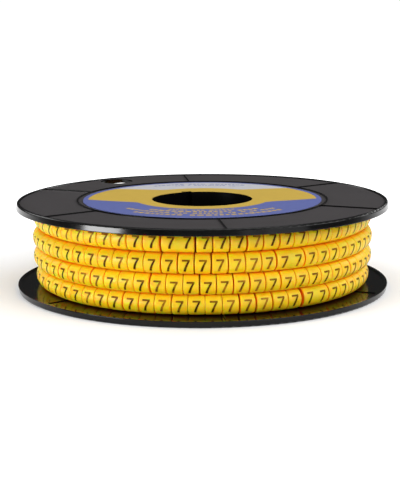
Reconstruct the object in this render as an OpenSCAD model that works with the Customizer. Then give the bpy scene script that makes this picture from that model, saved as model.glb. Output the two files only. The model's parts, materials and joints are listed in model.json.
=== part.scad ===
// Reel of slip-on cable markers. A soft plastic strip of short sleeves, cut
// nearly through between one marker and the next, is wound in layers on a
// moulded reel of two halves. A round label lies on the upper flange.
// Millimetres. The reel stands on its lower flange with its axis on Z.

/* [Flanges] */
// Diameter of both flanges
flange_d = 100; // [90:0.5:120]
// Thickness of a flange plate between its ribs
plate_t = 1.1; // [0.8:0.05:2]
// Height of the ribs on the outer face of a plate
rib_h = 0.3; // [0.1:0.05:0.6]
// Height of the ribs on the inner face of a plate
inner_rib_h = 0.2; // [0.1:0.05:0.4]
// How far the rim stands over the ribs on both faces
rim_over = 0.05; // [0.05:0.05:0.3]
// Width of a rib
rib_w = 0.4; // [0.3:0.05:1]
// Width of the thick rim round a flange
rim_w = 1; // [0.8:0.05:2]
// Rounding of the rim's edge on the outer face
rim_round = 0.5; // [0.1:0.05:0.65]
// Rounding of the rim's edge on the inner face
rim_lip = 0.15; // [0.05:0.05:0.3]
// Draft of the rim's wall, which leans in towards the outer face
rim_draft = 10; // [0:0.5:12]
// Number of radial ribs on each face
spokes = 6; // [3:1:12]
// Angle of the first radial rib
spoke_angle = 36.7; // [0:0.1:60]
// Diameter of the hole that the strip's end is tucked into
tuck_hole_d = 9.5; // [4:0.1:11]
// Space between that hole and the rim
tuck_margin = 0.2; // [0.1:0.1:4]
// Angle of that hole
tuck_angle = 125.2; // [0:0.1:360]

/* [Hub] */
// Diameter of the bore for the spindle
bore_d = 27; // [20:0.5:32]
// Wall of the tube round the bore
bore_wall = 2.4; // [1.8:0.1:4]
// Wall of the drum that the strip is wound on
drum_wall = 1.6; // [1:0.1:2.5]
// Depth that the upper half's plug goes into the drum
plug_h = 8; // [4:0.5:10]
// Wall of the plug
plug_wall = 1.5; // [1:0.1:2.5]
// Lead-in chamfer at the plug's end
plug_lead = 0.5; // [0.2:0.1:0.9]
// Clearance between pieces that push together
fit_gap = 0.1; // [0.05:0.05:0.3]
// Width of the drive notch in the bore
notch_w = 3; // [2:0.1:5]
// Depth of the drive notch behind the bore's wall
notch_depth = 1.3; // [0.8:0.1:1.7]
// Angle of the drive notch
notch_angle = 108.7; // [0:0.1:360]

/* [Label] */
// Diameter of the label
label_d = 64.2; // [50:0.2:74]
// Thickness of the label
label_t = 0.15; // [0.08:0.01:0.25]
// Space between the label's edge and the ring rib round it
label_margin = 1.3; // [0.5:0.1:2]

/* [Marker strip] */
// Diameter of a marker sleeve
sleeve_d = 5; // [4:0.1:6]
// Diameter of the hole for the wire, open at the strip's free end
wire_hole_d = 2.6; // [1.5:0.1:3.2]
// Length from one marker to the next along the outside of the winding
marker_pitch = 4.1; // [3:0.01:6]
// Width of the cut between two markers
cut_gap = 0.15; // [0.1:0.05:0.4]
// Turns side by side in a layer
turns = 4; // [2:1:6]
// Layers wound one over the other
layers = 4; // [2:1:5]
// How far a layer sinks between the turns of the layer below
layer_nest = 0.7; // [0.4:0.1:1.2]
// Space between neighbouring turns
turn_gap = 0.1; // [0.05:0.01:0.3]
// Space between the outermost turns and the flange ribs
side_gap = 0.1; // [0.05:0.05:0.5]
// Width of flange left uncovered outside the lowest part of the winding
flange_cover = 5.4; // [3:0.1:10]
// Extra radius in the middle of the winding
crown = 0.9; // [0:0.1:1.5]
// Extra radius at the upper turn over the lower one
lean = 0.4; // [0:0.1:1]
// Arc over which a turn crosses to the next row
cross_arc = 60; // [40:5:90]
// How far a turn sinks into the layer below while it crosses
cross_sink = 0.5; // [0.3:0.1:1]
// Arc over which the strip climbs out of the layer below
climb_arc = 25; // [15:1:30]
// Angle at which the outer layer begins
strip_angle = 116.6; // [0:0.1:360]

/* [Hidden] */
$fn = 64;
// Length that a cutting shape runs past the face it cuts
overcut = 1;

flange_r = flange_d / 2;
bore_r = bore_d / 2;
face_z = rim_over + rib_h;
plate_z = face_z + plate_t;
rim_t = plate_z + inner_rib_h + rim_over;
first_z = plate_z + inner_rib_h + side_gap + sleeve_d / 2;
winding_w = turns * sleeve_d + (turns - 1) * turn_gap;
reel_h = 2 * first_z - sleeve_d + winding_w;
mid_z = reel_h / 2;
ring_rib_r = label_d / 2 + label_margin + rib_w / 2;
spoke_step = 360 / spokes;
tuck_r = flange_r - rim_w - tuck_margin - tuck_hole_d / 2;

// The rim's wall is tangent to both roundings, whose middles are at lip_at and round_at
wall_normal = [cos(rim_draft), -sin(rim_draft)];
lip_at = [flange_r - rim_lip, rim_t - rim_lip];
wall_top = lip_at + rim_lip * wall_normal;
wall_foot_z = rim_round * (1 - sin(rim_draft));
wall_foot = [wall_top.x - (wall_top.y - wall_foot_z) * tan(rim_draft), wall_foot_z];
round_at = wall_foot - rim_round * wall_normal;

turn_pitch = sleeve_d + turn_gap;
layer_step = sleeve_d - layer_nest;
strip_r = flange_r - flange_cover - sleeve_d / 2;
wound_r = strip_r - (layers - 1) * layer_step - sleeve_d / 2;
drum_r = wound_r - fit_gap;
plug_r = drum_r - drum_wall - fit_gap;
deg_per_mm = 180 / (PI * (strip_r + sleeve_d / 2));
marker_step = marker_pitch * deg_per_mm;
marker_arc = (marker_pitch - cut_gap) * deg_per_mm;
end_t = 360 * turns - cross_arc;
markers = floor((end_t + climb_arc) / marker_step);

// Travel t is the angle wound since the outer layer began. Each turn runs
// level, then crosses to the next row. Before zero the strip is climbing.
function clamp01(x) = max(0, min(1, x));
function ease(s) = s * s * (3 - 2 * s);
function cross_share(t) = t < 0 ? 0 : ease(clamp01((t % 360 - 360 + cross_arc) / cross_arc));
function climb_share(t) = ease(clamp01(1 + t / climb_arc));
function row_at(t) = t < 0 ? 0 : floor(t / 360) + cross_share(t);
function lift_at(row) = crown * sin(180 * (row + 0.5) / turns) + lean * row / (turns - 1);
function sink_at(t) = 4 * cross_sink * cross_share(t) * (1 - cross_share(t));
function r_at(t) = strip_r + lift_at(row_at(t)) - sink_at(t) - layer_step * (1 - climb_share(t));
function z_at(t) = first_z + turn_pitch * row_at(t);
function mm_per_deg(t) = PI * r_at(t) / 180;
function slope_at(t) = atan((z_at(t + 1) - z_at(t - 1)) / (2 * mm_per_deg(t)));
function swing_at(t) = atan((r_at(t + 1) - r_at(t - 1)) / (2 * mm_per_deg(t)));
function marker_t(i) = marker_step * (i + 0.5) - climb_arc;

module lower_half() {
    color("#1c1b1c") {
        difference() {
            union() {
                rotate_extrude() {
                    flange_section();
                    tube_section();
                    drum_section();
                }
                flange_ribs(drum_r - drum_wall / 2);
            }
            flange_cuts();
        }
    }
}

module upper_half() {
    color("#1c1b1c") {
        translate([0, 0, reel_h]) {
            mirror([0, 0, 1]) {
                difference() {
                    union() {
                        rotate_extrude() {
                            flange_section();
                            tube_section();
                            plug_section();
                        }
                        flange_ribs(wound_r);
                    }
                    flange_cuts();
                }
            }
        }
    }
}

// Half section of a flange, outer face down
module flange_section() {
    translate([bore_r, face_z]) {
        square([flange_r - rim_w / 2 - bore_r, plate_t]);
    }
    translate([ring_rib_r - rib_w / 2, rim_over]) {
        square([rib_w, rib_h + plate_t / 2]);
    }
    polygon([
        [flange_r - rim_w, 0],
        [round_at.x, 0],
        round_at,
        wall_foot,
        wall_top,
        lip_at,
        [lip_at.x, rim_t],
        [flange_r - rim_w, rim_t],
    ]);
    translate(round_at) {
        circle(r = rim_round);
    }
    translate(lip_at) {
        circle(r = rim_lip);
    }
}

// Half of the tube round the bore, from the plate to the middle of the reel
module tube_section() {
    translate([bore_r, plate_z - plate_t / 2]) {
        square([bore_wall, mid_z - fit_gap / 2 - plate_z + plate_t / 2]);
    }
}

// Drum of the lower half, up to the upper half's plate
module drum_section() {
    translate([drum_r - drum_wall, plate_z - plate_t / 2]) {
        square([drum_wall, reel_h - 2 * plate_z + plate_t / 2]);
    }
}

// Plug of the upper half, with a lead-in at its end
module plug_section() {
    translate([plug_r, plate_z]) {
        polygon([
            [-plug_wall, -plate_t / 2],
            [0, -plate_t / 2],
            [0, plug_h - plug_lead],
            [-plug_lead, plug_h],
            [-plug_wall, plug_h],
        ]);
    }
}

// Radial ribs on both faces of a flange, the inner ones from inner_r outwards
module flange_ribs(inner_r) {
    rib_end = (flange_r - rim_w + round_at.x) / 2;
    for (k = [0:spokes - 1]) {
        rotate([0, 0, spoke_angle + k * spoke_step]) {
            translate([ring_rib_r, -rib_w / 2, rim_over]) {
                cube([rib_end - ring_rib_r, rib_w, rib_h + plate_t / 2]);
            }
            translate([inner_r, -rib_w / 2, plate_z - plate_t / 2]) {
                cube([rib_end - inner_r, rib_w, plate_t / 2 + inner_rib_h]);
            }
        }
    }
}

// Hole for the strip's end and the drive notch
module flange_cuts() {
    rotate([0, 0, tuck_angle]) {
        translate([tuck_r, 0, -overcut]) {
            cylinder(d = tuck_hole_d, h = rim_t + 2 * overcut);
        }
    }
    drive_notch();
}

module drive_notch() {
    rotate([0, 0, notch_angle]) {
        translate([bore_r / 2, -notch_w / 2, -overcut]) {
            cube([bore_r / 2 + notch_depth, notch_w, reel_h + 2 * overcut]);
        }
    }
}

module face_label() {
    color("#dfba3c") {
        difference() {
            translate([0, 0, reel_h - face_z]) {
                cylinder(d = label_d, h = label_t);
            }
            translate([0, 0, reel_h - face_z - overcut]) {
                cylinder(r = bore_r + fit_gap, h = label_t + 2 * overcut);
            }
            drive_notch();
        }
    }
}

module marker_strip() {
    color("#f4c21a") {
        union() {
            inner_layers();
            for (i = [0:markers - 2]) {
                marker(marker_t(i)) {
                    circle(d = sleeve_d);
                }
            }
            marker(marker_t(markers - 1)) {
                difference() {
                    circle(d = sleeve_d);
                    circle(d = wire_hole_d);
                }
            }
        }
    }
}

// One marker of the outer layer, bent round the winding at travel t
module marker(t) {
    rotate([0, 0, strip_angle + t]) {
        translate([r_at(t), 0, z_at(t)]) {
            rotate([slope_at(t), 0, -swing_at(t)]) {
                translate([-r_at(t), 0, 0]) {
                    rotate([0, 0, -marker_arc / 2]) {
                        rotate_extrude(angle = marker_arc) {
                            translate([r_at(t), 0]) {
                                children();
                            }
                        }
                    }
                }
            }
        }
    }
}

// The layers under the outer one, with the form of their turns outside
module inner_layers() {
    rotate_extrude() {
        for (i = [0:turns - 1]) {
            translate([strip_r + lift_at(i) - layer_step, first_z + turn_pitch * i]) {
                circle(d = sleeve_d);
            }
        }
        translate([wound_r, first_z - sleeve_d / 2]) {
            square([strip_r - layer_step - wound_r, winding_w]);
        }
    }
}

lower_half();
upper_half();
face_label();
marker_strip();
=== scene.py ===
"""Looks of a reel of slip-on cable markers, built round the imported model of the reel.

The two moulded reel halves keep their solids and get their plastic here. The label is laid as a
printed paper disc, and the wound strip is cut into soft sleeves, each printed with one digit.
Everything is in metres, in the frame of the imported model.
"""

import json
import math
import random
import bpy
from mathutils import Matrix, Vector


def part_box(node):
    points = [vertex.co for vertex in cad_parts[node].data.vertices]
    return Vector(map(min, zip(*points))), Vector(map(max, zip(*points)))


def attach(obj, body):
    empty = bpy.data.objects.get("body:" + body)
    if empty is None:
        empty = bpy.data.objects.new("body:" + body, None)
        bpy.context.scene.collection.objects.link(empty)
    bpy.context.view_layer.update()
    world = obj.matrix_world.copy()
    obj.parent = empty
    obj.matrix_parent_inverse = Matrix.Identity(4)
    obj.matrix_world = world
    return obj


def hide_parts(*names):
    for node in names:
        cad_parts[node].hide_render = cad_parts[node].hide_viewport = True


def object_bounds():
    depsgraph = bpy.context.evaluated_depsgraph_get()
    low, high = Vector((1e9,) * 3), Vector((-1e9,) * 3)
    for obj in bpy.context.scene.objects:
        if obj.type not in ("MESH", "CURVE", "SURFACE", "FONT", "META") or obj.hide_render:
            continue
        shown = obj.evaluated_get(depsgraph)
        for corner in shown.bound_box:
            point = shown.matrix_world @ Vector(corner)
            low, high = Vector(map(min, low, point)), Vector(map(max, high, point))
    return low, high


bl_info = {
    "name": "Cable marker reel",
    "version": (1, 0, 0),
    "blender": (4, 5, 0),
    "location": "View3D > Sidebar > Marker reel",
    "description": "Dresses a reel of cable markers with its plastic, label, sleeves and digits",
    "category": "Object",
}

import bpy
from bpy.props import FloatProperty, FloatVectorProperty, IntProperty, PointerProperty
from mathutils import Matrix, Vector

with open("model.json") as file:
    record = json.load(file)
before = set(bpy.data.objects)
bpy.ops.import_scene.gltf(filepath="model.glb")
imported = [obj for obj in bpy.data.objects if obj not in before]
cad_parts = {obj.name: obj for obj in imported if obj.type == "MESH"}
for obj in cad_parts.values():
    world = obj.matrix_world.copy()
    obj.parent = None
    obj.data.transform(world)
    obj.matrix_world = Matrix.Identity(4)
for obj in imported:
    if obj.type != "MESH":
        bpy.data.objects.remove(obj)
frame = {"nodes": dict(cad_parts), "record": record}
CAD_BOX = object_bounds()
REEL_LOW, REEL_HIGH = CAD_BOX
STRIP_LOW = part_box("marker_strip")[0]
LABEL_LOW, LABEL_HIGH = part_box("face_label")
BORE = next(m for m in frame["record"]["mounts"] if m["name"] == "bore")

MM = 0.001
TURN = 2 * math.pi
# Angle of the side that faces the camera
FRONT = math.radians(270)
PHOTO_W, PHOTO_H = 400, 500
SENSOR = 36 * MM
# Point attribute of the strip: painted shade in the cuts and against the next turn
CREASE_SHADE_ATTR = "press"


def linear(hex_colour):
    """Linear RGBA of an sRGB hex colour."""
    parts = [int(hex_colour[i : i + 2], 16) / 255 for i in (1, 3, 5)]
    rgb = [c / 12.92 if c <= 0.04045 else ((c + 0.055) / 1.055) ** 2.4 for c in parts]
    return (*rgb, 1.0)


def length(name, description, millimetres):
    """A length that a user may change, with its default in millimetres."""
    return FloatProperty(
        name=name, description=description, default=millimetres * MM, unit="LENGTH", precision=5
    )


def angle(name, description, degrees):
    """An angle that a user may change, with its default in degrees."""
    return FloatProperty(
        name=name, description=description, default=math.radians(degrees), subtype="ANGLE"
    )


def colour(name, description, hex_colour):
    """A colour that a user may change."""
    return FloatVectorProperty(
        name=name,
        description=description,
        default=linear(hex_colour),
        subtype="COLOR",
        size=4,
        min=0,
        max=1,
    )


def share(name, description, value):
    """A number between nought and one that a user may change."""
    return FloatProperty(
        name=name, description=description, default=value, min=0, max=1, subtype="FACTOR"
    )


def whole(name, description, value, least=1):
    """A whole number that a user may change."""
    return IntProperty(name=name, description=description, default=value, min=least)


class ReelSettings(bpy.types.PropertyGroup):
    """Finish of the two moulded halves."""

    black: colour("Black", "Colour of the polished rim, ribs and inner faces", "#070707")
    # The panel greys are a painted sheen on the black plastic, lighter in faint flow streaks
    panel_sheen_grey: colour("Panel black", "Colour of the eroded panels between the ribs", "#3a3738")
    flow_sheen_grey: colour("Flow black", "Colour of the panels in the faint streaks of flow", "#3f3c3d")
    polished: share("Polished roughness", "Roughness where the mould is polished", 0.13)
    satin: share("Satin roughness", "Roughness of the eroded panels", 0.5)
    gloss: share("Gloss", "Specular level of the plastic", 0.2)
    panel_drop: length("Panel drop", "How far the panels lie under the rim", 0.35)
    grain: length("Grain", "Size of the eroded grain on the panels", 0.45)


class LabelSettings(bpy.types.PropertyGroup):
    """Print of the paper disc on the upper flange."""

    # Yellow and blue are the print's colours with a painted sheen of the coating mixed in
    yellow: colour("Yellow", "Ground of the label", "#c8a846")
    blue: colour("Blue", "Border and front band", "#5e68a4")
    white: colour("White", "Bare paper at the back", "#c0c0c6")
    border: length("Border", "Width of the blue line round the label", 1.3)
    hole_margin: length("Hole margin", "Space between the bore and the label's inner edge", 0.1)
    notch_w: length("Notch width", "Width of the drive notch in the label", 3)
    notch_depth: length("Notch depth", "Depth of the drive notch behind the bore's wall", 1.3)
    notch_angle: angle("Notch angle", "Place of the drive notch round the bore", 108.7)
    band_r: length("Band radius", "Inner radius of the blue band in front", 18.2)
    band_arc: angle("Band arc", "Arc that the blue band covers", 176)
    field_r: length("Field radius", "Inner radius of the white field at the back", 19.5)
    field_arc: angle("Field arc", "Arc that the white field covers", 104)
    turn_arc: angle("Turn arc", "Arc over which a band rounds off at its ends", 22)
    ink_t: length("Ink thickness", "Height of the printed dashes over the paper", 0.012)


class StripSettings(bpy.types.PropertyGroup):
    """Form and colour of the wound strip of markers."""

    yellow: colour("Yellow", "Colour of the soft vinyl", "#e9c517")
    deep_yellow: colour("Deep yellow", "Colour where the vinyl is a little denser", "#e6be12")
    # Painted shade in the cuts, in the creases between turns and on the core below
    crease_shade_orange: colour("Pressed orange", "Colour in cuts and where turns press together", "#ec8407")
    sleeve_d: length("Sleeve diameter", "Diameter of a marker sleeve", 5)
    hole_d: length("Wire hole", "Diameter of the hole for the wire", 2.6)
    pitch: length("Marker pitch", "Length from one marker to the next", 4.1)
    cut_gap: length("Cut", "Usual width of the cut between two markers", 0.12)
    lip_l: length("Lip length", "Length over which a sleeve's edge rounds off at a cut", 0.5)
    lip_h: length("Lip height", "Height that a sleeve's edge loses at a cut", 0.2)
    turns: whole("Turns", "Turns side by side in a layer", 4, least=2)
    layers: whole("Layers", "Layers wound one over the other", 4, least=2)
    turn_gap: length("Turn gap", "Space between neighbouring turns", 0.1)
    spread: length("Spread", "How far a soft sleeve swells to each side", 0.09)
    layer_nest: length("Layer nest", "How far a layer sinks into the one below", 0.7)
    flange_cover: length("Flange cover", "Flange left bare outside the lowest winding", 5.4)
    crown: length("Crown", "Extra radius in the middle of the winding", 0.9)
    lean: length("Lean", "Extra radius at the upper turn over the lower one", 0.4)
    cross_arc: angle("Crossing arc", "Arc over which a turn crosses to the next row", 60)
    cross_sink: length("Crossing sink", "How far a turn sinks while it crosses", 0.5)
    climb_arc: angle("Climbing arc", "Arc over which the strip climbs out of the layer below", 25)
    strip_angle: angle("Strip angle", "Angle at which the outer layer begins", 116.6)
    seed: whole("Seed", "Seed of the small differences between sleeves", 7)


class DigitSettings(bpy.types.PropertyGroup):
    """Size and ink of the printed digits."""

    ink: colour("Ink", "Colour of the printed digit", "#452503")
    # The bar's lighter ink is a painted highlight on the top of each digit
    bar_ink_highlit: colour("Bar ink", "Colour of the digit's bar, which is stamped lightly", "#70460b")
    thin_ink: colour("Thin ink", "Colour where the ink is thin", "#a46c18")
    width: length("Digit width", "Width of a digit along the strip", 1.9)
    height: length("Digit height", "Height of a digit round the sleeve", 3.0)
    stroke: length("Stroke", "Width of the printed stroke", 0.44)
    ink_t: length("Ink thickness", "Height of the ink over the vinyl", 0.012)
    bed: length("Ink bed", "Depth that the ink's underside lies in the vinyl", 0.03)


class StageSettings(bpy.types.PropertyGroup):
    """Floor, lights and camera."""

    floor: colour("Floor", "Colour of the paper floor", "#e4e4e4")
    floor_lift: share("Floor lift", "Light that the floor adds near the reel", 0.2)
    backdrop_lift: share("Backdrop lift", "Light that the floor adds far from the reel", 0.88)
    lift_from: length("Lift from", "Radius at which the added light begins to grow", 45)
    lift_to: length("Lift to", "Radius at which the added light is full", 150)
    floor_r: length("Floor radius", "Radius of the floor", 6000)
    floor_rise: length("Floor rise", "Height that the floor's edge curls up", 100)
    horizon: share("Horizon", "Strength of the world's light at floor level", 0.03)
    zenith: share("Zenith", "Strength of the world's light overhead", 0.32)
    focal_px: FloatProperty(
        name="Focal length", description="In pixels", default=1300, min=1, subtype="PIXEL"
    )
    camera_distance: length("Camera distance", "From the middle of the reel's foot", 356.1)
    camera_elevation: angle("Camera elevation", "Angle of the camera over the floor", 12.336)
    camera_pan: angle("Camera pan", "Turn of the camera from the reel's axis", 0.109)
    camera_tilt: angle("Camera tilt", "Upward turn of the camera from the reel's foot", 1.484)
    camera_roll: angle("Camera roll", "Turn of the camera round its own axis", 0.29)


class MarkerReel(bpy.types.PropertyGroup):
    """All settings of the reel."""

    reel: PointerProperty(type=ReelSettings)
    label: PointerProperty(type=LabelSettings)
    strip: PointerProperty(type=StripSettings)
    digit: PointerProperty(type=DigitSettings)
    stage: PointerProperty(type=StageSettings)


# Materials

# Height over a panel at which its satin finish ends, and at which the polished one is full
SATIN_END, POLISH_FROM = 0.05 * MM, 0.1 * MM
# How squarely a face has to look outward to be a panel
PANEL_FACING = (0.9, 0.98)
# Sizes of the patterns. The vinyl's real skin is finer than drawn, but then it would not show.
FLOW_STREAK = 9 * MM
VINYL_CLOUD, VINYL_SKIN = 7 * MM, 0.5 * MM
INK_SPECKLE, INK_WEAR = 0.9 * MM, 8 * MM
PAPER_MOTTLE, PAPER_WAVE = 1.6 * MM, 11 * MM


def add_node(tree, kind, settings=None, inputs=None):
    """Adds one node with its settings. An input is a value or another node's socket."""
    node = tree.nodes.new("ShaderNode" + kind)
    for name, value in (settings or {}).items():
        setattr(node, name, value)
    for name, value in (inputs or {}).items():
        if isinstance(value, bpy.types.NodeSocket):
            tree.links.new(value, node.inputs[name])
        else:
            node.inputs[name].default_value = value
    return node


def new_material(name):
    """An empty node material and its tree."""
    material = bpy.data.materials.new(name)
    material.use_nodes = True
    material.node_tree.nodes.clear()
    return material, material.node_tree


def moulded_polystyrene(settings):
    """High-impact polystyrene, injection moulded in black.

    The panels between the ribs come from eroded steel; their satin grey is a painted sheen in the
    base colour. The ribs, the rim and the inner faces come from polished steel, so they look black
    and mirror the yellow strip.
    """
    material, tree = new_material("moulded_polystyrene")
    place = add_node(tree, "TexCoord").outputs["Object"]
    height = add_node(tree, "SeparateXYZ", inputs={0: place}).outputs["Z"]
    facing = add_node(tree, "NewGeometry").outputs["Normal"]
    upward = add_node(tree, "SeparateXYZ", inputs={0: facing}).outputs["Z"]
    half = (REEL_HIGH.z - REEL_LOW.z) / 2
    panel = half - settings.panel_drop
    over_middle = add_node(
        tree, "Math", {"operation": "SUBTRACT"}, {0: height, 1: REEL_LOW.z + half}
    )
    side = add_node(tree, "Math", {"operation": "SIGN"}, {0: over_middle.outputs[0]})
    outward = add_node(tree, "Math", {"operation": "MULTIPLY"}, {0: upward, 1: side.outputs[0]})
    flat = add_node(
        tree,
        "MapRange",
        inputs={
            "Value": outward.outputs[0],
            "From Min": PANEL_FACING[0],
            "From Max": PANEL_FACING[1],
        },
    )
    reach = add_node(tree, "Math", {"operation": "ABSOLUTE"}, {0: over_middle.outputs[0]})
    sunk = add_node(
        tree,
        "MapRange",
        inputs={
            "Value": reach.outputs[0],
            "From Min": panel + SATIN_END,
            "From Max": panel + POLISH_FROM,
            "To Min": 1,
            "To Max": 0,
        },
    )
    eroded = add_node(
        tree, "Math", {"operation": "MULTIPLY"}, {0: flat.outputs[0], 1: sunk.outputs[0]}
    )
    # Real erosion grain is about 0.05 mm. It is drawn coarser here, so that it shows at all.
    grain = add_node(
        tree,
        "TexNoise",
        inputs={"Vector": place, "Scale": 1 / settings.grain, "Detail": 3, "Roughness": 0.6},
    ).outputs["Fac"]
    flow = add_node(
        tree, "TexNoise", inputs={"Vector": place, "Scale": 1 / FLOW_STREAK, "Detail": 2}
    )
    panels = add_node(
        tree,
        "Mix",
        {"data_type": "RGBA"},
        {"Factor": flow.outputs["Fac"], "A": settings.panel_sheen_grey, "B": settings.flow_sheen_grey},
    )
    # Painted sheen: lighter grey base colour on the eroded panels, black elsewhere
    tone = add_node(
        tree,
        "Mix",
        {"data_type": "RGBA"},
        {"Factor": eroded.outputs[0], "A": settings.black, "B": panels.outputs["Result"]},
    )
    finish = add_node(
        tree,
        "MapRange",
        inputs={"Value": eroded.outputs[0], "To Min": settings.polished, "To Max": settings.satin},
    )
    uneven = add_node(
        tree, "Math", {"operation": "MULTIPLY_ADD"}, {0: grain, 1: 0.05, 2: finish.outputs[0]}
    )
    relief = add_node(tree, "Math", {"operation": "MULTIPLY"}, {0: grain, 1: eroded.outputs[0]})
    bump = add_node(
        tree,
        "Bump",
        inputs={"Strength": 0.35, "Distance": 0.02 * MM, "Height": relief.outputs[0]},
    )
    plastic = add_node(
        tree,
        "BsdfPrincipled",
        inputs={
            "Base Color": tone.outputs["Result"],
            "Roughness": uneven.outputs[0],
            "IOR": 1.59,
            "Specular IOR Level": settings.gloss,
            "Normal": bump.outputs["Normal"],
        },
    )
    add_node(tree, "OutputMaterial", inputs={"Surface": plastic.outputs[0]})
    return material


def extruded_vinyl(settings):
    """Soft PVC, extruded and cut on the run.

    It is slightly translucent, and its skin has the low gloss of soft vinyl. The orange in the
    cuts and where turns press together is painted shade, mixed in by a point attribute.
    """
    material, tree = new_material("extruded_soft_pvc")
    place = add_node(tree, "TexCoord").outputs["Object"]
    batch = add_node(
        tree, "TexNoise", inputs={"Vector": place, "Scale": 1 / VINYL_CLOUD, "Detail": 2}
    )
    tone = add_node(
        tree,
        "Mix",
        {"data_type": "RGBA"},
        {"Factor": batch.outputs["Fac"], "A": settings.yellow, "B": settings.deep_yellow},
    )
    # Painted shade: the crease shade attribute mixes deep orange into the cuts and creases
    press = add_node(tree, "Attribute", {"attribute_name": CREASE_SHADE_ATTR})
    crease_shaded = add_node(
        tree,
        "Mix",
        {"data_type": "RGBA"},
        {"Factor": press.outputs["Fac"], "A": tone.outputs["Result"], "B": settings.crease_shade_orange},
    )
    skin = add_node(
        tree, "TexNoise", inputs={"Vector": place, "Scale": 1 / VINYL_SKIN, "Detail": 2}
    ).outputs["Fac"]
    uneven = add_node(tree, "MapRange", inputs={"Value": skin, "To Min": 0.36, "To Max": 0.48})
    bump = add_node(
        tree, "Bump", inputs={"Strength": 0.25, "Distance": 0.01 * MM, "Height": skin}
    )
    vinyl = add_node(
        tree,
        "BsdfPrincipled",
        inputs={
            "Base Color": crease_shaded.outputs["Result"],
            "Roughness": uneven.outputs[0],
            "IOR": 1.53,
            "Specular IOR Level": 0.26,
            "Subsurface Weight": 1.0,
            "Subsurface Radius": (1.0, 0.25, 0.02),
            "Subsurface Scale": 1.3 * MM,
            "Normal": bump.outputs["Normal"],
        },
    )
    add_node(tree, "OutputMaterial", inputs={"Surface": vinyl.outputs[0]})
    return material


def printed_ink(name, full, thinned):
    """Dark brown solvent ink, stamped on the vinyl.

    It takes the gloss of the skin under it and thins out here and there in the strokes.
    """
    material, tree = new_material(name)
    place = add_node(tree, "TexCoord").outputs["Object"]
    speckle = add_node(
        tree, "TexNoise", inputs={"Vector": place, "Scale": 1 / INK_SPECKLE, "Detail": 3}
    )
    wear = add_node(tree, "TexNoise", inputs={"Vector": place, "Scale": 1 / INK_WEAR, "Detail": 1})
    both = add_node(
        tree, "Math", {"operation": "ADD"}, {0: speckle.outputs["Fac"], 1: wear.outputs["Fac"]}
    )
    thin = add_node(
        tree, "MapRange", inputs={"Value": both.outputs[0], "From Min": 0.92, "From Max": 1.25}
    )
    tone = add_node(
        tree,
        "Mix",
        {"data_type": "RGBA"},
        {"Factor": thin.outputs[0], "A": full, "B": thinned},
    )
    ink = add_node(
        tree,
        "BsdfPrincipled",
        inputs={
            "Base Color": tone.outputs["Result"],
            "Roughness": 0.5,
            "IOR": 1.5,
            "Specular IOR Level": 0.06,
        },
    )
    add_node(tree, "OutputMaterial", inputs={"Surface": ink.outputs[0]})
    return material


def coated_paper(name, base):
    """Coated label paper, offset printed.

    The print is even with a faint mottle, and the coating has a soft sheen at a low angle.
    """
    material, tree = new_material(name)
    place = add_node(tree, "TexCoord").outputs["Object"]
    mottle = add_node(
        tree, "TexNoise", inputs={"Vector": place, "Scale": 1 / PAPER_MOTTLE, "Detail": 4}
    )
    shade = add_node(
        tree, "MapRange", inputs={"Value": mottle.outputs["Fac"], "To Min": 0.92, "To Max": 1.06}
    )
    tone = add_node(
        tree,
        "VectorMath",
        {"operation": "SCALE"},
        {0: tuple(base)[:3], "Scale": shade.outputs[0]},
    )
    wave = add_node(
        tree, "TexNoise", inputs={"Vector": place, "Scale": 1 / PAPER_WAVE, "Detail": 1}
    )
    bump = add_node(
        tree, "Bump", inputs={"Strength": 0.3, "Distance": 0.15 * MM, "Height": wave.outputs["Fac"]}
    )
    paper = add_node(
        tree,
        "BsdfPrincipled",
        inputs={
            "Base Color": tone.outputs[0],
            "Roughness": 0.5,
            "IOR": 1.5,
            "Specular IOR Level": 0.3,
            "Normal": bump.outputs["Normal"],
        },
    )
    add_node(tree, "OutputMaterial", inputs={"Surface": paper.outputs[0]})
    return material


def studio_paper(settings):
    """Matt background paper.

    It stays white for the eye and in reflections, and keeps the reel's shadow.
    """
    material, tree = new_material("studio_paper")
    matt = add_node(tree, "BsdfDiffuse", inputs={"Color": settings.floor})
    path = add_node(tree, "LightPath")
    seen = add_node(
        tree,
        "Math",
        {"operation": "MAXIMUM"},
        {0: path.outputs["Is Camera Ray"], 1: path.outputs["Is Glossy Ray"]},
    )
    shown = add_node(
        tree,
        "Math",
        {"operation": "MAXIMUM"},
        {0: seen.outputs[0], 1: path.outputs["Is Transmission Ray"]},
    )
    place = add_node(tree, "TexCoord").outputs["Object"]
    reach = add_node(tree, "VectorMath", {"operation": "LENGTH"}, {0: place})
    added = add_node(
        tree,
        "MapRange",
        {"interpolation_type": "SMOOTHSTEP"},
        {
            "Value": reach.outputs["Value"],
            "From Min": settings.lift_from,
            "From Max": settings.lift_to,
            "To Min": settings.floor_lift,
            "To Max": settings.backdrop_lift,
        },
    )
    strength = add_node(
        tree, "Math", {"operation": "MULTIPLY"}, {0: shown.outputs[0], 1: added.outputs[0]}
    )
    lift = add_node(tree, "Emission", inputs={"Strength": strength.outputs[0]})
    both = add_node(tree, "AddShader", inputs={0: matt.outputs[0], 1: lift.outputs[0]})
    add_node(tree, "OutputMaterial", inputs={"Surface": both.outputs[0]})
    return material


# Meshes


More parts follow.
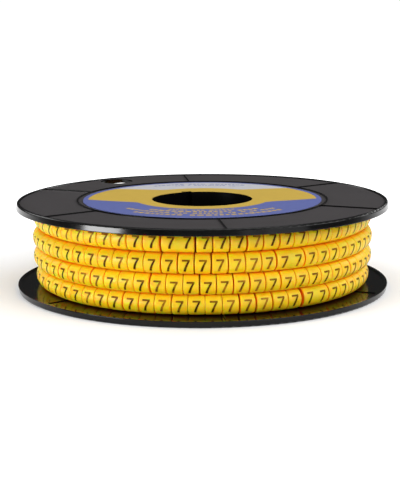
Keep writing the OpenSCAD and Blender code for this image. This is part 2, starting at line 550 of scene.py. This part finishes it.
class Shape:
    """Points and faces of one piece as they are gathered."""

    def __init__(self):
        self.points = []
        self.faces = []
        self.slots = []

    def add_face(self, corners, slot=0):
        """One face, without repeated corners."""
        corners = [c for i, c in enumerate(corners) if c != corners[i - 1]]
        if len(corners) > 2:
            self.faces.append(corners)
            self.slots.append(slot)

    def add_rings(self, rings, closed_ends=True, slot=0):
        """A tube through rings of points, with a cap on each end."""
        start = len(self.points)
        count = len(rings[0])
        for ring in rings:
            self.points.extend(ring)
        for k in range(len(rings) - 1):
            for j in range(count):
                a = start + k * count + j
                b = start + k * count + (j + 1) % count
                self.add_face([a, b, b + count, a + count], slot)
        if closed_ends:
            last = start + (len(rings) - 1) * count
            self.add_face([start + j for j in reversed(range(count))], slot)
            self.add_face([last + j for j in range(count)], slot)

    def add_ribbon(self, upper, lower, slot=0):
        """A flat closed ribbon between two strips of point pairs."""
        self.add_rings([[a, b, d, c] for (a, b), (c, d) in zip(upper, lower)], slot=slot)

    def build(self, name, materials, sharp=math.radians(35)):
        """The finished object, smooth apart from its sharp edges."""
        mesh = bpy.data.meshes.new(name)
        mesh.from_pydata(self.points, [], self.faces)
        for material in materials:
            mesh.materials.append(material)
        mesh.polygons.foreach_set("material_index", self.slots)
        mesh.polygons.foreach_set("use_smooth", [True] * len(self.faces))
        mesh.validate()
        mesh.set_sharp_from_angle(angle=sharp)
        piece = bpy.data.objects.new(name, mesh)
        bpy.context.scene.collection.objects.link(piece)
        return piece


def polar(radius, turn, height):
    """A point from its radius, angle and height."""
    return Vector((radius * math.cos(turn), radius * math.sin(turn), height))


# Strip


def clamp01(x):
    """A number kept between nought and one."""
    return max(0.0, min(1.0, x))


def ease(s):
    """A soft step from nought to one."""
    return s * s * (3 - 2 * s)


class StripPath:
    """Where the strip runs. Travel t is the angle wound since the outer layer began."""

    def __init__(self, s):
        self.s = s
        self.sleeve_r = s.sleeve_d / 2
        self.strip_r = REEL_HIGH.x - s.flange_cover - self.sleeve_r
        self.outer_r = self.strip_r + self.sleeve_r
        self.first_z = STRIP_LOW.z + self.sleeve_r
        self.turn_pitch = s.sleeve_d + s.turn_gap
        self.layer_step = s.sleeve_d - s.layer_nest
        self.wound_r = self.strip_r - (s.layers - 1) * self.layer_step - self.sleeve_r
        self.step = s.pitch / self.outer_r
        self.end_t = TURN * s.turns - s.cross_arc
        self.markers = math.floor((self.end_t + s.climb_arc) / self.step)

    def cross_share(self, t):
        """How far a turn has crossed to the next row, from nought to one."""
        if t < 0:
            return 0.0
        return ease(clamp01((t % TURN - TURN + self.s.cross_arc) / self.s.cross_arc))

    def climb_share(self, t):
        """How far the strip has climbed out of the layer below, from nought to one."""
        return ease(clamp01(1 + t / self.s.climb_arc))

    def row(self, t):
        """The row at travel t, from the bottom up, with its share on the way to the next."""
        return 0.0 if t < 0 else math.floor(t / TURN) + self.cross_share(t)

    def lift(self, row):
        """Extra radius of a row from the crown and the lean."""
        s = self.s
        return s.crown * math.sin(math.pi * (row + 0.5) / s.turns) + s.lean * row / (s.turns - 1)

    def front(self, t):
        """The row nearest to a travel, and the travel at which that row passes the front."""
        row = min(int(self.row(t) + 0.5), self.s.turns - 1)
        return row, FRONT - self.s.strip_angle + TURN * row

    def r(self, t):
        """Radius of the strip's middle."""
        crossed = self.cross_share(t)
        sink = 4 * self.s.cross_sink * crossed * (1 - crossed)
        below = self.layer_step * (1 - self.climb_share(t))
        return self.strip_r + self.lift(self.row(t)) - sink - below

    def z(self, t):
        """Height of the strip's middle."""
        return self.first_z + self.turn_pitch * self.row(t)

    def place(self, t):
        """Frame of a sleeve at travel t, as a matrix, and the radius that it is bent to."""
        near = math.radians(1)
        r = self.r(t)
        slope = math.atan((self.z(t + near) - self.z(t - near)) / (2 * near * r))
        swing = math.atan((self.r(t + near) - self.r(t - near)) / (2 * near * r))
        turned = Matrix.Rotation(self.s.strip_angle + t, 4, "Z")
        moved = turned @ Matrix.Translation((r, 0, self.z(t)))
        tilted = Matrix.Rotation(-swing, 4, "Z") @ Matrix.Rotation(slope, 4, "X")
        return moved @ tilted @ Matrix.Translation((-r, 0, 0)), r

    def below(self, row, turn):
        """Frame of a sleeve of the layer below, which lies level where it shows."""
        r = self.strip_r + self.lift(row) - self.layer_step
        height = self.first_z + self.turn_pitch * row
        return Matrix.Rotation(turn, 4, "Z") @ Matrix.Translation((0, 0, height)), r


# The rows of these tables run from the bottom one up, and each power series is of the angle from
# the front. This one is how far a row's markers have drifted along the strip, in marker pitches.
ROW_DRIFT = (
    (0.01, 0.073, 0.163, 0.499),
    (0.04, -0.226, -0.121, 0.058),
    (0.092, -0.185, -0.291, 0.065),
    (-0.513, 0.209, -0.26, -0.017),
)
# Angles from the front between which the series hold, and over which the drift fades at the back
FRONT_REACH = (math.radians(-69), math.radians(48))
DRIFT_END, DRIFT_FADE = math.radians(160), math.radians(90)
# How far each row's print is turned up from the sleeve's middle, in degrees, as a power series
ROW_TWIST = ((-3.5, 0.0, 0.0), (-10.7, 0.0, 0.0), (-6.2, 0.0, 0.0), (5.3, 3.0, -10.0))
# How far each row's print lies right of the middle of the sleeve, in mm
ROW_SHIFT = (0.0, -0.08, 0.06, 0.33)
# Cuts in front that gape or have closed up: width in mm by how many markers right of the middle
NOTED_CUTS = (
    {-5: 0.3, 2: 0.4, 3: 0.42, 4: 0.34, 6: 0.8, 7: 0.0, 8: 0.36},
    {-8: 0.4, -1: 0.34, 0: 0.2, 1: 0.3, 2: 0.34, 3: 0.2, 4: 0.26},
    {-1: 0.28, 0: 0.34, 1: 0.26, 2: 0.2, 3: 0.2, 4: 0.34, 5: 0.0, 6: 0.3},
    {-5: 0.2, -3: 0.46, -2: 0.0, -1: 0.46, 0: 0.26, 1: 0.34, 2: 0.4, 3: 0.3, 4: 0.3},
)
# Small differences from sleeve to sleeve: place in pitches, rise in mm, and turn in degrees
PITCH_SPREAD, RISE_SPREAD, TURN_SPREAD, LOWER_TURN_SPREAD = 0.02, 0.02, 2, 8
# Width of a cut as a share of the usual one, how often one gapes, and its share then
CUT_SPREAD, GAPING_CHANCE, GAPING_SPREAD = (0.7, 1.4), 0.07, (2.0, 3.5)
# How far the core lies under the sleeves of its own layer, so that light can spread in them
CORE_SINK = 1 * MM
# The uncut web between two sleeves: radius and depth under the middle, as shares of a sleeve's
# radius, and how far it reaches past the sleeve
WEB_R, WEB_DEPTH, WEB_REACH = 0.35, 0.45, 0.6 * MM
# Sine of the angle round a sleeve at which it begins to touch its neighbour, and touches in full
# The painted crease shade grows from the first of these to the second
CREASE_SHADE_FROM, CREASE_SHADE_FULL = 0.85, 0.98
# Points round a sleeve, and angles of the points over a lip
SECTION_SIDES = 26
LIP_TURNS = (0, 20, 45, 70, 90)


class Sleeve:
    """One marker: its frame, the radius that it is bent to, its length, its ends and its print."""

    def __init__(self, path, place, r, size, cut, twist, shift=0.0, open_end=False):
        self.place = place
        self.r = r
        self.size = size
        self.cut = cut
        self.twist = twist
        self.shift = shift
        self.open_end = open_end
        self.outer = path.sleeve_r
        self.swell = 1 + path.s.spread / path.sleeve_r


def series(factors, x):
    """Value of a power series."""
    return sum(c * x**k for k, c in enumerate(factors))


def near_front(off):
    """An angle off the front, kept within the arc that the row series hold for."""
    return max(FRONT_REACH[0], min(FRONT_REACH[1], off))


def drift(row, off):
    """Drift of a row's markers, in marker pitches, at an angle off the front."""
    fade = ease(clamp01((DRIFT_END - abs(off)) / DRIFT_FADE))
    return fade * series(ROW_DRIFT[row], near_front(off))


def cut_places(path, rng):
    """Travel and width of every cut of the outer layer, from the climb to the free end."""
    s = path.s
    cuts = []
    for i in range(path.markers + 1):
        t = path.step * i - s.climb_arc
        row, front_t = path.front(t)
        t += path.step * (drift(row, t - front_t) + rng.uniform(-PITCH_SPREAD, PITCH_SPREAD))
        chance = rng.random()
        width = s.cut_gap * rng.uniform(*CUT_SPREAD)
        if chance > 1 - GAPING_CHANCE:
            width = s.cut_gap * rng.uniform(*GAPING_SPREAD)
        noted = NOTED_CUTS[row].get(math.floor((t - front_t) / path.step))
        cuts.append((t, width if noted is None else noted * MM))
    return cuts


def outer_sleeves(path, rng):
    """The sleeves of the outer layer."""
    cuts = cut_places(path, rng)
    sleeves = []
    for i, ((t0, w0), (t1, w1)) in enumerate(zip(cuts, cuts[1:])):
        start = t0 + w0 / 2 / path.outer_r
        end = t1 - w1 / 2 / path.outer_r
        place, r = path.place((start + end) / 2)
        jog = Matrix.Translation((0, 0, rng.uniform(-RISE_SPREAD, RISE_SPREAD) * MM))
        row, front_t = path.front((t0 + t1) / 2)
        twist = series(ROW_TWIST[row], near_front((t0 + t1) / 2 - front_t))
        twist += rng.uniform(-TURN_SPREAD, TURN_SPREAD)
        sleeve = Sleeve(
            path,
            place @ jog,
            r,
            size=(end - start) * (r + path.sleeve_r),
            cut=(w0 > 0, w1 > 0),
            twist=math.radians(twist),
            shift=ROW_SHIFT[row] * MM,
            open_end=i == path.markers - 1,
        )
        sleeves.append(sleeve)
    return sleeves


def lower_sleeves(path, rng):
    """The sleeves of the layer below, where the outer layer leaves its first and last rows."""
    s = path.s
    spare = math.radians(12)
    sleeves = []
    for row in (0, s.turns - 1):
        turn = s.strip_angle - s.cross_arc - spare
        while turn < s.strip_angle + spare:
            place, r = path.below(row, turn)
            size = path.step * (r + path.sleeve_r) - s.cut_gap
            twist = math.radians(rng.uniform(-LOWER_TURN_SPREAD, LOWER_TURN_SPREAD))
            sleeves.append(Sleeve(path, place, r, size, cut=(True, True), twist=twist))
            turn += path.step
    return sleeves


def sleeve_point(sleeve, along, rho, turn):
    """A point of a sleeve: way along the strip, distance from the middle, angle round it."""
    reach = sleeve.r + rho * math.cos(turn)
    bend = along / (sleeve.r + sleeve.outer)
    rise = sleeve.swell * rho * math.sin(turn)
    return sleeve.place @ Vector((reach * math.cos(bend), reach * math.sin(bend), rise))


def sleeve_stations(sleeve, settings):
    """Way along and radius of each ring of a sleeve, with rounded lips at the cuts."""
    half = sleeve.size / 2
    big = sleeve.outer
    lip_l, lip_h = settings.lip_l, settings.lip_h
    stations = [(0.0, big)]
    for side, cut in zip((-1, 1), sleeve.cut):
        rounded = [
            (side * (half - lip_l * (1 - math.cos(a))), big - lip_h * (1 - math.sin(a)))
            for a in map(math.radians, LIP_TURNS)
        ]
        ring = rounded if cut else [(side * half, big)]
        stations = ring + stations if side < 0 else stations + ring[::-1]
    if sleeve.open_end:
        hole_r = settings.hole_d / 2
        stations += [(half, hole_r), (-half / 2, hole_r)]
    return stations


def wind_strip(settings):
    """Sleeves of the outer layer and of what shows of the layer below."""
    path = StripPath(settings)
    rng = random.Random(settings.seed)
    return path, outer_sleeves(path, rng) + lower_sleeves(path, rng)


def crease_shade_share(turn, depth):
    """Painted shade of a sleeve's point in a cut or between two turns, from nought to one."""
    flank = ease(clamp01((abs(math.sin(turn)) - CREASE_SHADE_FROM) / (CREASE_SHADE_FULL - CREASE_SHADE_FROM)))
    wall = ease(clamp01(2 * depth - 1))
    return max(flank, wall)


def add_sleeves(shape, sleeves, settings):
    """Every sleeve as a closed tube. Gives back the painted crease shade of each point."""
    turns = [TURN * j / SECTION_SIDES for j in range(SECTION_SIDES)]
    shares = []
    for sleeve in sleeves:
        rings = []
        for along, rho in sleeve_stations(sleeve, settings):
            rings.append([sleeve_point(sleeve, along, rho, turn) for turn in turns])
            depth = (sleeve.outer - rho) / settings.lip_h
            shares.extend(crease_shade_share(turn, depth) for turn in turns)
        shape.add_rings(rings)
    return shares


def add_core(shape, path):
    """The layers below as one body with the form of their turns outside."""
    s = path.s
    arc_points = 9
    arc_reach = math.radians(85)
    around = 120
    profile = []
    for row in range(s.turns):
        middle = path.strip_r + path.lift(row) - path.layer_step - CORE_SINK
        height = path.first_z + path.turn_pitch * row
        for j in range(arc_points):
            a = arc_reach * (2 * j / (arc_points - 1) - 1)
            out, up = path.sleeve_r * math.cos(a), path.sleeve_r * math.sin(a)
            profile.append((middle + out, height + up))
    profile = [(path.wound_r, profile[0][1])] + profile + [(path.wound_r, profile[-1][1])]
    start = len(shape.points)
    count = len(profile)
    for k in range(around):
        shape.points.extend(polar(r, TURN * k / around, z) for r, z in profile)
    for k in range(around):
        here = start + k * count
        there = start + (k + 1) % around * count
        for j in range(count):
            n = (j + 1) % count
            shape.add_face([here + j, there + j, there + n, here + n])


def add_webs(shape, sleeves):
    """What the blade leaves uncut: a web near the hub side that joins each sleeve to the next."""
    sides = [TURN * j / 8 for j in range(8)]
    for sleeve in sleeves:
        if sleeve.open_end:
            continue
        reach = sleeve.size / 2 + WEB_REACH
        rings = []
        for along in (-reach, reach):
            ring = []
            for a in sides:
                out = sleeve.outer * (WEB_R * math.cos(a) - WEB_DEPTH)
                up = sleeve.outer * WEB_R * math.sin(a)
                ring.append(sleeve_point(sleeve, along, math.hypot(out, up), math.atan2(up, out)))
            rings.append(ring)
        shape.add_rings(rings)


# The digit's leg: where its foot stands and how far its top leans over, as shares of the digit's
# width, the power of its bend, and its half width at the top and gain to the foot, as shares of
# the stroke
LEG_FOOT, LEG_LEAN, LEG_BEND = 0.33, 0.52, 1.6
LEG_TOP, LEG_GAIN = 0.58, 0.1
# Stretches that the bar and the leg are laid in
BAR_STEPS, LEG_STEPS = 4, 8


def add_seven(shape, sleeve, digit):
    """One printed seven, wrapped round its sleeve as a thin bed of ink."""
    half_w = digit.width / 2
    half_h = digit.height / 2
    big = sleeve.outer

    def on_skin(u, v, rise):
        """A point over the sleeve's skin."""
        return sleeve_point(sleeve, u + sleeve.shift, big + rise, sleeve.twist + v / big)

    def lay(edges, slot):
        """One stroke between pairs of edge points."""
        top = [tuple(on_skin(u, v, digit.ink_t) for u, v in pair) for pair in edges]
        bed = [tuple(on_skin(u, v, -digit.bed) for u, v in pair) for pair in edges]
        shape.add_ribbon(top, bed, slot)

    bar_foot = half_h - digit.stroke
    bar = [-half_w + digit.width * j / BAR_STEPS for j in range(BAR_STEPS + 1)]
    # The bar takes the lighter ink: a painted highlight
    lay([((u, bar_foot), (u, half_h)) for u in bar], slot=1)
    leg = []
    for j in range(LEG_STEPS + 1):
        down = j / LEG_STEPS
        v = bar_foot - (bar_foot + half_h) * down
        middle = -half_w + digit.width * (LEG_FOOT + LEG_LEAN * (1 - down) ** LEG_BEND)
        wide = digit.stroke * (LEG_TOP + LEG_GAIN * down)
        leg.append(((middle + wide, v), (middle - wide, v)))
    lay(leg, slot=0)


# Label


def notch_sizes(settings):
    """Radius of the label's hole, radius of the notch's floor, and half of the notch's width."""
    bore_r = BORE["dims"]["r_mm"] * MM
    return bore_r + settings.hole_margin, bore_r + settings.notch_depth, settings.notch_w / 2


def bore_edge(settings, turn):
    """Inner radius of the label at an angle, with the drive notch."""
    edge, floor, half = notch_sizes(settings)
    off = abs(turn - settings.notch_angle)
    if off >= math.asin(half / edge):
        return edge
    return max(edge, min(floor / math.cos(off), half / math.sin(off) if off else floor))


def band_edge(turn, middle, arc, turn_arc, inside, outside):
    """Inner radius of a band that covers an arc and rounds off at its ends."""
    off = abs((turn - middle + math.pi) % TURN - math.pi)
    return outside + (inside - outside) * math.sqrt(ease(clamp01((arc / 2 - off) / turn_arc)))


def label_columns(settings):
    """Angles of the label's rays, with extra ones where the notch turns."""
    edge, floor, half = notch_sizes(settings)
    corners = [math.asin(half / edge), math.atan(half / floor)]
    rays = {TURN * k / 360 for k in range(360)}
    rays |= {settings.notch_angle + sign * c for c in corners for sign in (-1, 1)}
    return sorted(rays)


def add_label_disc(shape, settings):
    """The paper disc, its top face parted into yellow, white and blue fields."""
    outer = LABEL_HIGH.x
    border = outer - settings.border
    rounding = settings.turn_arc
    back = FRONT - math.pi
    columns = []
    for turn in label_columns(settings):
        hole = bore_edge(settings, turn)
        blue = band_edge(turn, FRONT, settings.band_arc, rounding, settings.band_r, border)
        white = band_edge(turn, back, settings.field_arc, rounding, settings.field_r, blue)
        radii = [hole, min(white, blue), blue, outer]
        start = len(shape.points)
        shape.points.extend(polar(r, turn, LABEL_HIGH.z) for r in radii)
        shape.points.extend(polar(r, turn, LABEL_LOW.z) for r in (hole, outer))
        same = [start, start + 1, start + 2, start + 3]
        if blue - min(white, blue) < 0.01 * MM:
            same[1] = same[2]
        columns.append(same + [start + 4, start + 5])
    for here, there in zip(columns, columns[1:] + columns[:1]):
        for k, slot in ((0, 0), (1, 1), (2, 2)):
            shape.add_face([here[k], here[k + 1], there[k + 1], there[k]], slot)
        shape.add_face([here[3], here[5], there[5], there[3]], 2)
        shape.add_face([here[5], here[4], there[4], there[5]], 1)
        shape.add_face([here[4], here[0], there[0], there[4]], 0)


# Rows of printed dashes: radius in mm, middle angle, arc, height in mm, mean length in mm
YELLOW_ROWS = (
    (28.0, 274, 84, 1.3, 1.2),
    (25.2, 268, 96, 1.0, 0.9),
    (22.6, 272, 76, 1.3, 1.1),
    (20.3, 270, 50, 0.8, 0.8),
)
BLUE_ROWS = ((27.8, 92, 56, 0.9, 0.9), (25.4, 88, 40, 0.7, 0.7))
# In mean lengths: spread of a dash's length, space after it, and the wider space at a break
DASH_SPREAD, DASH_SPACE, BREAK_SPACE = (0.6, 1.4), 0.45, 1.6
BREAK_CHANCE = 0.16


def add_dashes(shape, settings, rows, rng):
    """Rows of plain dashes that follow the label's round, with breaks here and there."""
    top = LABEL_HIGH.z + settings.ink_t
    foot = LABEL_HIGH.z - settings.ink_t
    for radius, middle, arc, high, mean in rows:
        inner = (radius - high / 2) * MM
        outer = (radius + high / 2) * MM
        turn = math.radians(middle - arc / 2)
        stop = math.radians(middle + arc / 2)
        while turn < stop:
            last = turn + mean * rng.uniform(*DASH_SPREAD) / radius
            rays = [turn, (turn + last) / 2, last]
            shape.add_ribbon(
                [(polar(inner, a, top), polar(outer, a, top)) for a in rays],
                [(polar(inner, a, foot), polar(outer, a, foot)) for a in rays],
            )
            space = DASH_SPACE if rng.random() < 1 - BREAK_CHANCE else BREAK_SPACE
            turn = last + mean * space / radius


# Stage

# Soft lights: azimuth and elevation in degrees, distance, width and height in metres, radiance
SOFTBOXES = {
    "left_softbox": (-59, 8, 0.6, 0.25, 0.13, 26.5),
    "right_softbox": (52, 28, 0.8, 0.9, 0.46, 3.7),
    "right_card": (50, 6, 0.9, 0.4, 0.12, 1.2),
    "front_fill": (10, 3, 0.7, 0.8, 0.07, 3.2),
    "back_left_softbox": (-125, 28, 0.8, 0.5, 0.3, 2.5),
    "back_right_softbox": (125, 28, 0.8, 0.5, 0.3, 3.4),
    "top_softbox": (0, 82, 0.9, 0.9, 0.6, 1.8),
}
# Height in the sky, as a sine, at which the dark walls end and at which the ceiling is full
WALL_TOP, CEILING = 0.1, 0.9
# The floor lies a hair under the reel's foot, so that the two faces don't fight
FLOOR_DROP = 0.02 * MM
# Nearest and farthest that the camera sees, in metres
CLIP_NEAR, CLIP_FAR = 0.01, 20


def floor_mesh(settings):
    """A round paper floor with an edge that curls up."""
    shape = Shape()
    sides = 96
    steps = 6
    stations = [(settings.floor_r * k / steps, -FLOOR_DROP) for k in range(1, steps)]
    curl = settings.floor_rise
    for k in range(steps + 1):
        a = math.radians(90 * k / steps)
        height = curl * (1 - math.cos(a)) - FLOOR_DROP
        stations.append((settings.floor_r + curl * math.sin(a), height))
    rings = [[polar(r, TURN * j / sides, z) for j in range(sides)] for r, z in stations]
    shape.add_rings(rings, closed_ends=False)
    shape.add_face(list(range(sides)))
    return shape


def add_softbox(name, azimuth, elevation, distance, width, height, radiance):
    """A flat light that looks at the reel. Azimuth 0 is the camera's side, left is negative."""
    light = bpy.data.lights.new(name, "AREA")
    light.shape = "RECTANGLE"
    light.size, light.size_y = width, height
    light.energy = radiance * math.pi * width * height
    lamp = bpy.data.objects.new(name, light)
    a, e = math.radians(azimuth), math.radians(elevation)
    target = Vector((0, 0, REEL_HIGH.z / 2))
    back = Vector((math.sin(a) * math.cos(e), -math.cos(a) * math.cos(e), math.sin(e)))
    lamp.location = target + back * distance
    lamp.rotation_euler = (-back).to_track_quat("-Z", "Y").to_euler()
    lamp.visible_camera = False
    bpy.context.scene.collection.objects.link(lamp)


def add_camera(settings):
    """The camera that took the photograph, as fitted to the flanges and the ring rib."""
    e = settings.camera_elevation
    place = Vector((0, -math.cos(e), math.sin(e))) * settings.camera_distance
    ahead = -place.normalized()
    right = Vector((1, 0, 0))
    up = right.cross(ahead)
    pan = Matrix.Rotation(settings.camera_pan, 3, up)
    ahead, right = pan @ ahead, pan @ right
    tilt = Matrix.Rotation(settings.camera_tilt, 3, right)
    ahead, up = tilt @ ahead, tilt @ up
    roll = Matrix.Rotation(settings.camera_roll, 3, ahead)
    right, up = roll @ right, roll @ up
    lens = bpy.data.cameras.new("photo_camera")
    lens.sensor_width = SENSOR / MM
    lens.lens = settings.focal_px / max(PHOTO_W, PHOTO_H) * SENSOR / MM
    lens.clip_start, lens.clip_end = CLIP_NEAR, CLIP_FAR
    camera = bpy.data.objects.new("photo_camera", lens)
    turn = Matrix((right, up, -ahead)).transposed()
    camera.matrix_world = Matrix.Translation(place) @ turn.to_4x4()
    bpy.context.scene.collection.objects.link(camera)
    bpy.context.scene.camera = camera


def add_world(settings):
    """Soft light from a pale ceiling over dark walls."""
    world = bpy.data.worlds.new("studio")
    world.use_nodes = True
    tree = world.node_tree
    tree.nodes.clear()
    towards = add_node(tree, "TexCoord").outputs["Generated"]
    height = add_node(tree, "SeparateXYZ", inputs={0: towards}).outputs["Z"]
    strength = add_node(
        tree,
        "MapRange",
        {"interpolation_type": "SMOOTHSTEP"},
        {
            "Value": height,
            "From Min": WALL_TOP,
            "From Max": CEILING,
            "To Min": settings.horizon,
            "To Max": settings.zenith,
        },
    )
    sky = add_node(
        tree,
        "Background",
        inputs={"Color": linear("#ffffff"), "Strength": strength.outputs[0]},
    )
    add_node(tree, "OutputWorld", inputs={"Surface": sky.outputs[0]})
    bpy.context.scene.world = world


# Operators


class REEL_OT_mould_halves(bpy.types.Operator):
    """Gives both moulded halves their black plastic"""

    bl_idname = "marker_reel.mould_halves"
    bl_label = "Mould reel halves"

    def execute(self, context):
        plastic = moulded_polystyrene(context.scene.marker_reel.reel)
        for name in ("lower_half", "upper_half"):
            mesh = frame["nodes"][name].data
            mesh.materials.clear()
            mesh.materials.append(plastic)
        return {"FINISHED"}


class REEL_OT_lay_label(bpy.types.Operator):
    """Lays the printed paper disc on the upper flange"""

    bl_idname = "marker_reel.lay_label"
    bl_label = "Lay label"

    def execute(self, context):
        settings = context.scene.marker_reel.label
        # The yellow and blue papers carry a painted sheen in their colours
        yellow = coated_paper("offset_yellow_with_painted_sheen", settings.yellow)
        white = coated_paper("bare_coated_paper", settings.white)
        blue = coated_paper("offset_blue_with_painted_sheen", settings.blue)
        disc = Shape()
        add_label_disc(disc, settings)
        label = disc.build("label_disc", [yellow, white, blue])
        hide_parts("face_label")
        rng = random.Random(context.scene.marker_reel.strip.seed)
        pieces = [label]
        prints = (("yellow_dashes", YELLOW_ROWS, yellow), ("blue_dashes", BLUE_ROWS, blue))
        for name, rows, ink in prints:
            dashes = Shape()
            add_dashes(dashes, settings, rows, rng)
            pieces.append(dashes.build(name, [ink]))
        for piece in pieces:
            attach(piece, "root")
        return {"FINISHED"}


class REEL_OT_wind_strip(bpy.types.Operator):
    """Winds the strip of cut sleeves on the reel"""

    bl_idname = "marker_reel.wind_strip"
    bl_label = "Wind strip"

    def execute(self, context):
        settings = context.scene.marker_reel.strip
        path, sleeves = wind_strip(settings)
        strip = Shape()
        shares = add_sleeves(strip, sleeves, settings)
        add_webs(strip, sleeves)
        add_core(strip, path)
        # The webs and the core take the full painted crease shade
        shares += [1.0] * (len(strip.points) - len(shares))
        piece = strip.build("marker_sleeves", [extruded_vinyl(settings)])
        piece.data.attributes.new(CREASE_SHADE_ATTR, "FLOAT", "POINT").data.foreach_set("value", shares)
        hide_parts("marker_strip")
        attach(piece, "root")
        return {"FINISHED"}


class REEL_OT_print_digits(bpy.types.Operator):
    """Prints one digit on every sleeve"""

    bl_idname = "marker_reel.print_digits"
    bl_label = "Print digits"

    def execute(self, context):
        project = context.scene.marker_reel
        digit = project.digit
        ink = Shape()
        for sleeve in wind_strip(project.strip)[1]:
            add_seven(ink, sleeve, digit)
        full = printed_ink("stamped_ink", digit.ink, digit.thin_ink)
        # Lighter ink for the bars, a painted highlight
        light = printed_ink("ink_with_painted_highlight", digit.bar_ink_highlit, digit.thin_ink)
        piece = ink.build("marker_digits", [full, light])
        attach(piece, "root")
        return {"FINISHED"}


class REEL_OT_set_stage(bpy.types.Operator):
    """Sets the floor, the lights and the camera"""

    bl_idname = "marker_reel.set_stage"
    bl_label = "Set stage"

    def execute(self, context):
        settings = context.scene.marker_reel.stage
        floor = floor_mesh(settings).build("studio_floor", [studio_paper(settings)])
        add_world(settings)
        for name, light in SOFTBOXES.items():
            add_softbox(name, *light)
        add_camera(settings)
        context.scene.view_settings.view_transform = "Standard"
        return {"FINISHED"}


class REEL_PT_panel(bpy.types.Panel):
    """Lists the steps that dress the reel"""

    bl_label = "Marker reel"
    bl_idname = "REEL_PT_panel"
    bl_space_type = "VIEW_3D"
    bl_region_type = "UI"
    bl_category = "Marker reel"

    def draw(self, context):
        for step in STEPS:
            self.layout.operator(step.bl_idname)
        project = context.scene.marker_reel
        for group in (project.reel, project.label, project.strip, project.digit, project.stage):
            box = self.layout.box()
            for name in group.bl_rna.properties.keys():
                if name not in ("name", "rna_type"):
                    box.prop(group, name)


STEPS = (
    REEL_OT_mould_halves,
    REEL_OT_lay_label,
    REEL_OT_wind_strip,
    REEL_OT_print_digits,
    REEL_OT_set_stage,
)
GROUPS = (ReelSettings, LabelSettings, StripSettings, DigitSettings, StageSettings, MarkerReel)
CLASSES = GROUPS + STEPS + (REEL_PT_panel,)


def register():
    for cls in CLASSES:
        bpy.utils.register_class(cls)
    bpy.types.Scene.marker_reel = PointerProperty(type=MarkerReel)


def unregister():
    del bpy.types.Scene.marker_reel
    for cls in reversed(CLASSES):
        bpy.utils.unregister_class(cls)


def main():
    """Dresses the reel."""
    register()
    bpy.ops.marker_reel.mould_halves()
    bpy.ops.marker_reel.lay_label()
    bpy.ops.marker_reel.wind_strip()
    bpy.ops.marker_reel.print_digits()
    bpy.ops.marker_reel.set_stage()


if __name__ == "__main__":
    main()
